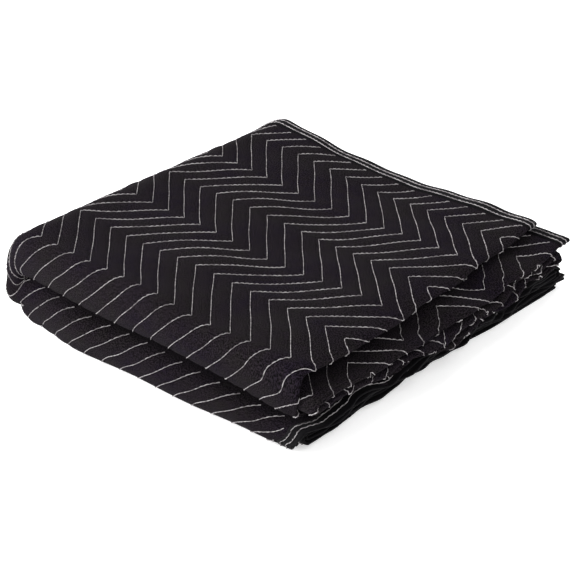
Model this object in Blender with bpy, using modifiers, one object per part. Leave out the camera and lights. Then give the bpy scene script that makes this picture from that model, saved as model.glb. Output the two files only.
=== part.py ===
"""Quilted moving blanket, folded into a packet sixteen leaves thick.

Metres, +Z up. The cloth is cut and quilted flat, with x along its length and y across its width, and then folded
as a person folds it: once end to end, twice side to side, and once more end to end. It lies on Z = 0, centred on
the Z axis. X runs along the packet and Y across it, so the broad end fold is at -X, the side folds are at -Y,
the bound side edges at +Y, and the end folds over the bound end edges at +X.

A leaf is one thickness of cloth. Heights inside the packet are counted in leaves from the middle plane, where
the two halves of the last fold meet, and are turned into metres by the spacing of the leaves at that place.
"""
import math

import bmesh
import bpy
import numpy as np

# The cut cloth: a standard 80 by 72 inch moving blanket
CUT_LENGTH = 2.032
CUT_WIDTH = 1.829
CLOTH = 0.0028
BOUND_CLOTH = 0.0014
STITCH_PINCH = 0.72

# Zigzag quilting: lines side by side along the length, each running across the width
LINE_PITCH = 0.0284
ZIGZAG_REACH = 0.074
ZIGZAG_LEG = 0.074
FIRST_CORNER = 0.0575
LINE_START = 0.0068
TOP_LEAF_START = 0.5 * CUT_LENGTH - 0.436
TOP_LEAF_STOP = 0.5 * CUT_LENGTH - 0.004
TOP_LEAF_LEGS = 5

# Binding tape, folded over all four edges
TAPE_WIDTH = 0.019
TAPE_WALL = 0.0006
TAPE_CLEARANCE = 0.00045
TAPE_TAPER = 0.012
BOUND_WIDTH = TAPE_WIDTH + TAPE_WALL
TAPE_LIFT = 0.5 * BOUND_CLOTH + TAPE_CLEARANCE + TAPE_WALL - 0.5 * CLOTH + 0.00002

# Lines of the folds in the packet, before it is centred
END_FOLD_X = -0.012
SIDE_FOLD_Y = 0.0
SIDE_FOLD_INNER_Y = 0.414
TOP_EDGE_Y = 0.423
SECOND_EDGE_Y = 0.434
SPAN_X = 0.436
SPAN_Y = 0.423

# Spacing of the leaves round each fold: along the fold's axis plane, and where they press together at its tip
END_LEAF = 0.0068
END_TIP = 0.0040
SIDE_LEAF = 0.0062
SIDE_TIP = 0.0042
HAIRPIN_LEAF = 0.0056
LEAVES = 8.0
OUTERMOST = 7.5

# Where the last fold and the first one lie along the doubled cloth
LAST_FOLD = 0.502
SIDE_FOLD_OUTER = 0.4648
MIDDLE_FOLD = 0.9145
SIDE_FOLD_INNER = 1.3745

# Leaf spacing at the packet's corners. Columns: corner x, corner y (0 to 1), upper half, lower half
LEAF_SPACING = (
    (0.0, 0.0, 0.0089, 0.0080),
    (1.0, 0.0, 0.0092, 0.0047),
    (0.0, 1.0, 0.0072, 0.0074),
    (1.0, 1.0, 0.0052, 0.0050),
)

# The pile leans as it rises. It sinks in the middle, along the back edge and towards the end folds
LEAN_X = 0.014
LEAN_Y = -0.005
LEAN_START_Z = 0.020
LEAN_RISE = 0.080
TOP_DIP = 0.004
BACK_DIP = 0.012
DIP_RISE = 0.090

# How far the side folds stand out past their line. Columns: place along the packet (0 to 1), upper, lower half
SIDE_BULGE = (
    (-0.15, 0.000, 0.000),
    (0.00, 0.001, 0.004),
    (0.22, 0.003, 0.013),
    (0.45, 0.002, 0.008),
    (0.62, 0.004, 0.009),
    (0.85, 0.001, 0.004),
    (1.15, 0.000, 0.000),
)
BULGE_DEPTH = 0.11
BULGE_CHANGE = 0.5
END_DROOP = 0.16
DROOP_START = 0.88
DROOP_RUN = 0.18

# How far the ends reach in X, as one goes along the width. Columns: y in the cut, upper fold, lower bound ends
END_REACH = (
    (0.000, 0.396, 0.436),
    (0.423, 0.426, 0.430),
    (0.492, 0.440, 0.428),
    (0.880, 0.424, 0.432),
    (0.949, 0.428, 0.434),
    (1.350, 0.446, 0.430),
    (1.393, 0.452, 0.430),
    (1.829, 0.440, 0.434),
)

# Distance between the points that a direction is taken from, and the least distance from a cut to a corner
DIRECTION_STEP = 0.0002
CUT_TOLERANCE = 0.0004

# Rows and columns of the cloth, stretch by stretch
END_STEPS = 5
LAST_FOLD_STEPS = 9
UPPER_STEPS = 6
HAIRPIN_STEPS = 5
SIDE_FOLD_STEPS = 8
HIDDEN_STEPS = 3
SMALL_FOLD_STEPS = 5

QUARTER = 0.5 * math.pi


def bend(run, apex, radius):
    """Angle round a half turn, from -90 degrees before it to +90 degrees after it."""
    return np.clip((run - apex) / radius, -QUARTER, QUARTER)


def share(run, start, stop):
    """How much of the straight stretch from start to stop lies behind this point, 0 to 1."""
    return np.clip((run - start) / (stop - start), 0.0, 1.0)


def ease(value):
    """Smooth step from 0 to 1."""
    value = np.clip(value, 0.0, 1.0)
    return value * value * (3.0 - 2.0 * value)


def first_fold(x):
    """The cloth doubled end to end: run from the bound ends, and side, +0.5 on the outer leaf, -0.5 on the inner."""
    radius = 0.5 * HAIRPIN_LEAF
    angle = bend(x, 0.5 * CUT_LENGTH, radius)
    straight = np.minimum(np.minimum(x, CUT_LENGTH - x), 0.5 * CUT_LENGTH - QUARTER * radius)
    return straight + radius * np.cos(angle), -0.5 * np.sin(angle)


def side_folds(y, side):
    """Two folds side to side: place across the packet, and height in leaves, -4 to 4."""
    outer = 3.0 + side
    middle = 1.0 + side
    inner = 1.0 - side
    outer_turn = bend(y, SIDE_FOLD_OUTER, outer * SIDE_LEAF)
    middle_turn = bend(y, MIDDLE_FOLD, middle * HAIRPIN_LEAF)
    inner_turn = bend(y, SIDE_FOLD_INNER, inner * SIDE_LEAF)
    outer_y = SIDE_FOLD_Y - (3.5 - outer) * (SIDE_LEAF - SIDE_TIP)
    inner_y = SIDE_FOLD_Y - (3.5 - inner) * (SIDE_LEAF - SIDE_TIP)
    outer_arc = QUARTER * outer * SIDE_LEAF
    middle_arc = QUARTER * middle * HAIRPIN_LEAF
    inner_arc = QUARTER * inner * SIDE_LEAF
    place = (
        TOP_EDGE_Y
        + (outer_y - TOP_EDGE_Y) * share(y, 0.0, SIDE_FOLD_OUTER - outer_arc)
        + (SIDE_FOLD_INNER_Y - outer_y) * share(y, SIDE_FOLD_OUTER + outer_arc, MIDDLE_FOLD - middle_arc)
        + (inner_y - SIDE_FOLD_INNER_Y) * share(y, MIDDLE_FOLD + middle_arc, SIDE_FOLD_INNER - inner_arc)
        + (SECOND_EDGE_Y - inner_y) * share(y, SIDE_FOLD_INNER + inner_arc, CUT_WIDTH)
        - outer * SIDE_LEAF * np.cos(outer_turn)
        + middle * HAIRPIN_LEAF * np.cos(middle_turn)
        - inner * SIDE_LEAF * np.cos(inner_turn)
    )
    height = (
        -outer * np.sin(outer_turn)
        + middle * (1.0 + np.sin(middle_turn))
        + inner * (1.0 + np.sin(inner_turn))
    )
    return place, height


def eased(rows, place, column):
    """One column of a table whose first column is a place, eased from row to row."""
    table = np.array(rows)
    row = np.clip(np.searchsorted(table[:, 0], place, side="right") - 1, 0, len(table) - 2)
    step = ease((place - table[row, 0]) / (table[row + 1, 0] - table[row, 0]))
    return table[row, column] + (table[row + 1, column] - table[row, column]) * step


def last_fold(run, level, y):
    """The last fold, end to end: place along the packet, and height in leaves, -8 in the lowest to 8 on top."""
    radius = level * END_LEAF
    turn = bend(run, LAST_FOLD, radius)
    arc = QUARTER * radius
    fold_x = END_FOLD_X - (OUTERMOST - level) * (END_LEAF - END_TIP)
    hairpin = 0.5 * CUT_LENGTH - QUARTER * 0.5 * HAIRPIN_LEAF
    low_x = eased(END_REACH, y, 2)
    top_x = eased(END_REACH, y, 1)
    place = (
        low_x
        + (fold_x - low_x) * share(run, 0.0, LAST_FOLD - arc)
        + (top_x - fold_x) * share(run, LAST_FOLD + arc, hairpin)
        + np.maximum(run - hairpin, 0.0)
        - radius * np.cos(turn)
    )
    return place, level * np.sin(turn)


def leaf_spacing(x, y, column):
    """Spacing of the leaves at a place in the packet, from its four corners."""
    along = np.clip((x - END_FOLD_X) / SPAN_X, 0.0, 1.0)
    across = np.clip((y - SIDE_FOLD_Y) / SPAN_Y, 0.0, 1.0)
    spacing = 0.0
    for row in LEAF_SPACING:
        weight_x = along if row[0] else 1.0 - along
        weight_y = across if row[1] else 1.0 - across
        spacing = spacing + weight_x * weight_y * row[column]
    return spacing


def end_droop(x):
    """Share of its spacing that the upper half keeps: it sinks where its end folds hang over the lower half."""
    along = (x - END_FOLD_X) / SPAN_X
    return 1.0 - END_DROOP * ease((along - DROOP_START) / DROOP_RUN)


def from_edge(x, y):
    """Distance to the nearest cut edge of the cloth."""
    return np.minimum(np.minimum(x, CUT_LENGTH - x), np.minimum(y, CUT_WIDTH - y))


def settled(along, across, up, middle):
    """The pile as it has settled, given its points and the height of its middle plane there."""
    share_x = np.clip((along - END_FOLD_X) / SPAN_X, 0.0, 1.0)
    share_y = np.clip((across - SIDE_FOLD_Y) / SPAN_Y, 0.0, 1.0)
    dip = (TOP_DIP * np.sin(math.pi * share_y) + BACK_DIP * share_y * share_y) * np.sin(math.pi * share_x)
    sunk = up - dip * np.clip((up - CLOTH) / DIP_RISE, 0.0, 1.0)
    place = (along - END_FOLD_X) / SPAN_X
    upper = ease((up - middle) / (BULGE_CHANGE * middle) + 0.5)
    bulge = eased(SIDE_BULGE, place, 1) * upper + eased(SIDE_BULGE, place, 2) * (1.0 - upper)
    out = bulge * ease(1.0 - (across - SIDE_FOLD_Y) / BULGE_DEPTH)
    lean = np.maximum(sunk - LEAN_START_Z, 0.0) / LEAN_RISE
    return np.stack([along + LEAN_X * lean, across - out + LEAN_Y * lean, sunk], axis=-1)


def folded(x, y):
    """Middle of the cloth, folded, for the point x, y of the cut."""
    run, side = first_fold(x)
    across, height = side_folds(y, side)
    level = 0.5 * LEAVES + height
    along, leaves = last_fold(run, level, y)
    upper = leaf_spacing(along, across, 2) * end_droop(along)
    lower = leaf_spacing(along, across, 3)
    middle = 0.5 * CLOTH + OUTERMOST * lower
    lift = TAPE_LIFT * (1.0 - ease((from_edge(x, y) - BOUND_WIDTH) / TAPE_TAPER))
    up = middle + leaves * np.where(leaves > 0.0, upper, lower) + lift
    return settled(along, across, up, middle)


def unit(vector):
    """Vectors of length one."""
    return vector / np.linalg.norm(vector, axis=-1, keepdims=True)


def frame_at(x, y):
    """Point on the folded cloth with its directions along x, along y and out of the face."""
    point = folded(x, y)
    along = unit(folded(x + DIRECTION_STEP, y) - folded(x - DIRECTION_STEP, y))
    across = unit(folded(x, y + DIRECTION_STEP) - folded(x, y - DIRECTION_STEP))
    return point, along, across, unit(np.cross(along, across))


def stretch(start, stop, steps):
    """Even parts of one stretch, with the far end left to the next stretch."""
    return [start + (stop - start) * step / steps for step in range(steps)]


def rows_across():
    """Rows of the cut across its width: close round the folds, at the quilting corners on the top leaf."""
    outer_arc = QUARTER * 3.0 * SIDE_LEAF
    small_arc = QUARTER * 1.0 * SIDE_LEAF
    corners = [FIRST_CORNER + ZIGZAG_LEG * corner for corner in range(TOP_LEAF_LEGS + 1)]
    fold_start = SIDE_FOLD_OUTER - outer_arc
    rows = [0.0, BOUND_WIDTH, BOUND_WIDTH + TAPE_TAPER] + corners
    rows += stretch(fold_start, SIDE_FOLD_OUTER + outer_arc, SIDE_FOLD_STEPS)
    rows += stretch(SIDE_FOLD_OUTER + outer_arc, MIDDLE_FOLD - small_arc, HIDDEN_STEPS)
    rows += stretch(MIDDLE_FOLD - small_arc, MIDDLE_FOLD + small_arc, SMALL_FOLD_STEPS)
    rows += stretch(MIDDLE_FOLD + small_arc, SIDE_FOLD_INNER - small_arc, HIDDEN_STEPS)
    rows += stretch(SIDE_FOLD_INNER - small_arc, SIDE_FOLD_INNER + small_arc, SMALL_FOLD_STEPS)
    rows += stretch(SIDE_FOLD_INNER + small_arc, CUT_WIDTH - BOUND_WIDTH - TAPE_TAPER, HIDDEN_STEPS)
    rows += [CUT_WIDTH - BOUND_WIDTH - TAPE_TAPER, CUT_WIDTH - BOUND_WIDTH, CUT_WIDTH]
    return rows


def columns_along(y):
    """Columns of the cut along its length at one row, which widen round the outer leaves of the last fold."""
    columns = []
    for side in (0.5, -0.5):
        level = float(0.5 * LEAVES + side_folds(np.array(y), side)[1])
        arc = QUARTER * level * END_LEAF
        hairpin = 0.5 * CUT_LENGTH - QUARTER * 0.5 * HAIRPIN_LEAF
        leaf = [0.0, BOUND_WIDTH]
        leaf += stretch(BOUND_WIDTH + TAPE_TAPER, LAST_FOLD - arc, END_STEPS)
        leaf += stretch(LAST_FOLD - arc, LAST_FOLD + arc, LAST_FOLD_STEPS)
        leaf += stretch(LAST_FOLD + arc, hairpin, UPPER_STEPS)
        leaf += [hairpin]
        columns.append(leaf)
    outer, inner = columns
    start = outer[-1]
    stop = CUT_LENGTH - start
    turn = stretch(start, stop, HAIRPIN_STEPS)[1:]
    return outer + turn + [CUT_LENGTH - run for run in reversed(inner)]


def zigzag(y):
    """How far the quilting lines have moved along the length at this place across the width."""
    phase = np.mod(y - FIRST_CORNER, 2.0 * ZIGZAG_LEG) / ZIGZAG_LEG
    return ZIGZAG_REACH * (1.0 - np.abs(1.0 - phase))


def from_stitching(x, y):
    """Distance to the nearest quilting line, 0 on the line to 1 half way between two."""
    place = np.mod((x - LINE_START - zigzag(y)) / LINE_PITCH, 1.0)
    return 2.0 * np.minimum(place, 1.0 - place)


def flat_cloth():
    """The cut cloth as a flat grid, in x and y."""
    rows = rows_across()
    columns = [columns_along(y) for y in rows]
    mesh = bmesh.new()
    made = bmesh.ops.create_grid(mesh, x_segments=len(columns[0]) - 1, y_segments=len(rows) - 1, size=0.5)
    order = sorted(made["verts"], key=lambda vert: (round(vert.co.y, 5), round(vert.co.x, 5)))
    for number, vert in enumerate(order):
        row, column = divmod(number, len(columns[0]))
        vert.co = (columns[row][column], rows[row], 0.0)
    return mesh


def quilt_top_leaf(mesh):
    """Cut the top leaf's faces along the quilting lines and half way between them."""
    for leg in range(-1, TOP_LEAF_LEGS):
        low = FIRST_CORNER + ZIGZAG_LEG * leg
        high = low + ZIGZAG_LEG
        low_shift = float(zigzag(np.array(low)))
        high_shift = float(zigzag(np.array(high)))
        slope = (high_shift - low_shift) / ZIGZAG_LEG
        strip = [
            face for face in mesh.faces
            if max(low, BOUND_WIDTH + TAPE_TAPER) < face.calc_center_median().y < high
            and TOP_LEAF_START < face.calc_center_median().x < TOP_LEAF_STOP
        ]
        for line in range(int(2.0 * CUT_LENGTH / LINE_PITCH)):
            start = LINE_START + low_shift + 0.5 * LINE_PITCH * line
            if TOP_LEAF_START - ZIGZAG_REACH < start < TOP_LEAF_STOP + ZIGZAG_REACH:
                edges = {edge for face in strip for edge in face.edges}
                verts = {vert for face in strip for vert in face.verts}
                cut = bmesh.ops.bisect_plane(
                    mesh, geom=list(verts) + list(edges) + strip, dist=CUT_TOLERANCE,
                    plane_co=(start, low, 0.0), plane_no=(1.0, -slope, 0.0),
                )
                strip = [item for item in cut["geom"] if isinstance(item, bmesh.types.BMFace)]


def cloth_weight(x, y):
    """Thickness as a share of the full cloth: thin under the tape, pinched along the top leaf's stitching."""
    bound = BOUND_CLOTH / CLOTH
    taper = bound + (1.0 - bound) * ease((from_edge(x, y) - BOUND_WIDTH) / TAPE_TAPER)
    last_row = FIRST_CORNER + ZIGZAG_LEG * TOP_LEAF_LEGS
    on_top = (x > TOP_LEAF_START) & (x < TOP_LEAF_STOP) & (y < last_row)
    quilting = np.where(on_top, STITCH_PINCH + (1.0 - STITCH_PINCH) * ease(from_stitching(x, y)), 1.0)
    return np.minimum(taper, quilting)


def material(name, colour, roughness):
    """A Principled material."""
    made = bpy.data.materials.new(name)
    made.use_nodes = True
    shader = made.node_tree.nodes["Principled BSDF"]
    shader.inputs["Base Color"].default_value = (*colour, 1.0)
    shader.inputs["Roughness"].default_value = roughness
    shader.inputs["Metallic"].default_value = 0.0
    return made


def add_object(name, mesh, look, collection):
    """Put a mesh in the scene under a name, with its material."""
    data = bpy.data.meshes.new(name)
    mesh.to_mesh(data)
    mesh.free()
    data.materials.append(look)
    made = bpy.data.objects.new(name, data)
    collection.objects.link(made)
    return made


def solidify(target, thickness):
    """Give an open surface its thickness, half to each side."""
    shell = target.modifiers.new("Thickness", "SOLIDIFY")
    shell.thickness = thickness
    shell.offset = 0.0
    shell.use_rim = True
    return shell


def make_panel(collection):
    """The quilted cloth, one piece, folded."""
    mesh = flat_cloth()
    quilt_top_leaf(mesh)
    bmesh.ops.triangulate(mesh, faces=mesh.faces)
    mesh.verts.ensure_lookup_table()
    flat = np.array([vert.co[:2] for vert in mesh.verts])
    for vert, point in zip(mesh.verts, folded(flat[:, 0], flat[:, 1])):
        vert.co = point
    weights = cloth_weight(flat[:, 0], flat[:, 1])
    panel = add_object("quilted_panel", mesh, material("quilted cloth", (0.016, 0.015, 0.018), 0.9), collection)
    group = panel.vertex_groups.new(name="Thickness")
    for number, weight in enumerate(weights):
        group.add([number], float(weight), "REPLACE")
    shell = solidify(panel, CLOTH)
    shell.vertex_group = group.name
    return panel


def make_tape(name, x, y, inward, look, collection):
    """Binding tape along an edge of the cut: x and y follow the edge, inward points into the cloth."""
    lip = 0.5 * BOUND_CLOTH + TAPE_CLEARANCE + 0.5 * TAPE_WALL
    back = TAPE_CLEARANCE + 0.5 * TAPE_WALL
    lips = ((TAPE_WIDTH, 1.0), (-back, 1.0), (-back, -1.0), (TAPE_WIDTH, -1.0))
    columns = []
    for depth, face in lips:
        inside = max(depth, 0.0)
        point, along, across, out = frame_at(x + inward[0] * inside, y + inward[1] * inside)
        inwards = along * inward[0] + across * inward[1]
        columns.append(point + inwards * min(depth, 0.0) + out * face * lip)
    mesh = bmesh.new()
    made = bmesh.ops.create_grid(mesh, x_segments=len(x) - 1, y_segments=len(lips) - 1, size=0.5)
    order = sorted(made["verts"], key=lambda vert: (round(vert.co.y, 5), round(vert.co.x, 5)))
    for number, vert in enumerate(order):
        row, column = divmod(number, len(x))
        vert.co = columns[row][column]
    tape = add_object(name, mesh, look, collection)
    shell = solidify(tape, TAPE_WALL)
    shell.use_even_offset = True
    return tape


def make_tapes(collection):
    """Four tapes: one along each side edge, and one along each end between them."""
    look = material("binding tape", (0.010, 0.010, 0.011), 0.8)
    tapes = []
    for name, edge, inward in (("side_tape_top", 0.0, 1.0), ("side_tape_second", CUT_WIDTH, -1.0)):
        x = np.array(columns_along(edge))
        tapes.append(make_tape(name, x, np.full_like(x, edge), (0.0, inward), look, collection))
    for name, edge, inward in (("end_tape_outer", 0.0, 1.0), ("end_tape_inner", CUT_LENGTH, -1.0)):
        y = np.array([row for row in rows_across() if 0.0 < row < CUT_WIDTH])
        tapes.append(make_tape(name, np.full_like(y, edge), y, (inward, 0.0), look, collection))
    return tapes


def centre(objects):
    """Stand the packet on Z = 0 with its middle on the Z axis."""
    graph = bpy.context.evaluated_depsgraph_get()
    points = []
    for item in objects:
        evaluated = item.evaluated_get(graph)
        data = evaluated.to_mesh()
        flat = np.empty(len(data.vertices) * 3)
        data.vertices.foreach_get("co", flat)
        points.append(flat.reshape(-1, 3))
        evaluated.to_mesh_clear()
    points = np.concatenate(points)
    low, high = points.min(axis=0), points.max(axis=0)
    for item in objects:
        item.location = (-0.5 * (low[0] + high[0]), -0.5 * (low[1] + high[1]), -low[2])


def main():
    """Clear the scene and build the blanket."""
    for item in list(bpy.data.objects):
        bpy.data.objects.remove(item, do_unlink=True)
    collection = bpy.data.collections.new("moving_blanket")
    bpy.context.scene.collection.children.link(collection)
    panel = make_panel(collection)
    tapes = make_tapes(collection)
    centre([panel, *tapes])


main()
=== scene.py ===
"""Quilted moving blanket, folded into a packet of sixteen leaves, with its binding, stitches and studio.

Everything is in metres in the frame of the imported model. The blanket is drawn flat, with x along its length
and y across its width, and each piece is then laid onto the folded form, so that cloth, binding and stitches
stay together.
"""
import logging
import math
from dataclasses import dataclass, field
from enum import Enum

import bmesh
import bpy
import numpy as np
from mathutils import Matrix, Vector
from mathutils.geometry import delaunay_2d_cdt

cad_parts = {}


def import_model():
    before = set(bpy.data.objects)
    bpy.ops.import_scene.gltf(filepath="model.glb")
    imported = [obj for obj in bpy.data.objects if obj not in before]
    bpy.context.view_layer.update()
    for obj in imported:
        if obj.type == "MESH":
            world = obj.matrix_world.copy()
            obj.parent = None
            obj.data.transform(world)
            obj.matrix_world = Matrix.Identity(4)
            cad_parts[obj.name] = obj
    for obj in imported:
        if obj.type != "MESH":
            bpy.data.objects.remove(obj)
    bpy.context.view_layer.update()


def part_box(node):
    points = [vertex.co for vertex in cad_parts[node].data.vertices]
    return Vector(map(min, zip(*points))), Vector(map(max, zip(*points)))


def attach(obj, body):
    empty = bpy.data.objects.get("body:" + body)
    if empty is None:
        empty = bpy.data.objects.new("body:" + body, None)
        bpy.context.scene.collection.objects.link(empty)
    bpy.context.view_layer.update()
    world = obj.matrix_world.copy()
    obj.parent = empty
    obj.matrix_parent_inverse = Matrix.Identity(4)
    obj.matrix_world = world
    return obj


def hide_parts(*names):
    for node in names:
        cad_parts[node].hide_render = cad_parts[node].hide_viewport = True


LOG = logging.getLogger("moving_blanket")
QUARTER = 0.5 * math.pi
TINY = 1e-12
Array = np.ndarray
Triple = tuple[float, float, float]
Table = tuple[tuple[float, ...], ...]
Faces = list[tuple[int, ...]]
Strand = tuple[Array, Faces]
Piece = bpy.types.Object
Material = bpy.types.Material
Socket = bpy.types.NodeSocket
COLOURS = {"data_type": "RGBA"}
PRODUCT = {"operation": "MULTIPLY"}
PRODUCT_AND_SUM = {"operation": "MULTIPLY_ADD"}
SUM = {"operation": "ADD"}
SINE = {"operation": "SINE"}


class Slot(Enum):
    """Material slots of the record."""

    CLOTH = "quilted_cloth"
    TAPE = "binding_tape"


class Edge(Enum):
    """The four cut edges of the blanket, by the names of their tapes."""

    SIDE_TOP = "side_tape_top"
    SIDE_SECOND = "side_tape_second"
    END_OUTER = "end_tape_outer"
    END_INNER = "end_tape_inner"


def ease(value: Array) -> Array:
    """Smooth step from 0 to 1."""
    value = np.clip(value, 0.0, 1.0)
    return value * value * (3.0 - 2.0 * value)


def share(run: Array, start: Array, stop: Array) -> Array:
    """How much of the straight stretch from start to stop lies behind this point, 0 to 1."""
    return np.clip((run - start) / (stop - start), 0.0, 1.0)


def bend(run: Array, apex: float, radius: Array) -> Array:
    """Angle round a half turn, from -90 degrees before it to +90 degrees after it."""
    return np.clip((run - apex) / radius, -QUARTER, QUARTER)


def rounded(turn: Array, skew: float) -> Array:
    """A half turn whose cloth is spread evenly round an upright oval instead of a circle."""
    return turn - skew * np.sin(2.0 * turn)


def eased(rows: Table, place: Array, column: int) -> Array:
    """One column of a table whose first column is a place, eased from row to row.

    Args:
        rows: the table, with its rows in order of place.
        place: where it is read.
        column: the column that is read.

    Returns:
        The value at each place.
    """
    table = np.array(rows)
    row = np.clip(np.searchsorted(table[:, 0], place, side="right") - 1, 0, len(table) - 2)
    step = ease((place - table[row, 0]) / (table[row + 1, 0] - table[row, 0]))
    return table[row, column] + (table[row + 1, column] - table[row, column]) * step


def unit(vector: Array) -> Array:
    """Vectors of length one."""
    return vector / np.maximum(np.linalg.norm(vector, axis=-1, keepdims=True), TINY)


@dataclass(frozen=True)
class Rumple:
    """A soft push on the pile: cloth near a short line is moved, and its neighbours move along with it.

    Attributes:
        centre: middle of the line.
        axis: direction of the line.
        along: how far the push reaches along the line.
        across: how far it reaches to the sides.
        push: the move in its middle.
    """

    centre: Triple
    axis: Triple
    along: float
    across: float
    push: Triple

    def move(self, points: Array) -> Array:
        """The push on the cloth.

        Args:
            points: points of the cloth.

        Returns:
            How far each point is moved.
        """
        away = points - np.array(self.centre)
        axis = unit(np.array(self.axis))
        run = away @ axis
        off = np.linalg.norm(away - run[..., None] * axis, axis=-1)
        weight = np.exp(-((run / self.along) ** 2) - (off / self.across) ** 2)
        return weight[..., None] * np.array(self.push)


@dataclass(frozen=True)
class Ripple:
    """A slow wave through the pile, as loosely folded cloth has.

    Attributes:
        length: from crest to crest.
        heading: direction in which it runs, in degrees from +X.
        climb: how far the wave is ahead for each metre of height.
        phase: where it starts, in turns.
        push: the move on a crest.
        centre: middle of the part of the pile that it fills.
        spread: how far it reaches from there along X, Y and Z.
    """

    length: float
    heading: float
    climb: float
    phase: float
    push: Triple
    centre: Triple = (0.0, 0.0, 0.0)
    spread: Triple = (9.0, 9.0, 9.0)

    def move(self, points: Array) -> Array:
        """The push on the cloth.

        Args:
            points: points of the cloth.

        Returns:
            How far each point is moved.
        """
        heading = math.radians(self.heading)
        run = points @ np.array([math.cos(heading), math.sin(heading), self.climb])
        away = (points - np.array(self.centre)) / np.array(self.spread)
        wave = np.sin(2.0 * math.pi * (run / self.length + self.phase))
        weight = wave * np.exp(-np.sum(away * away, axis=-1))
        return weight[..., None] * np.array(self.push)


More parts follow.
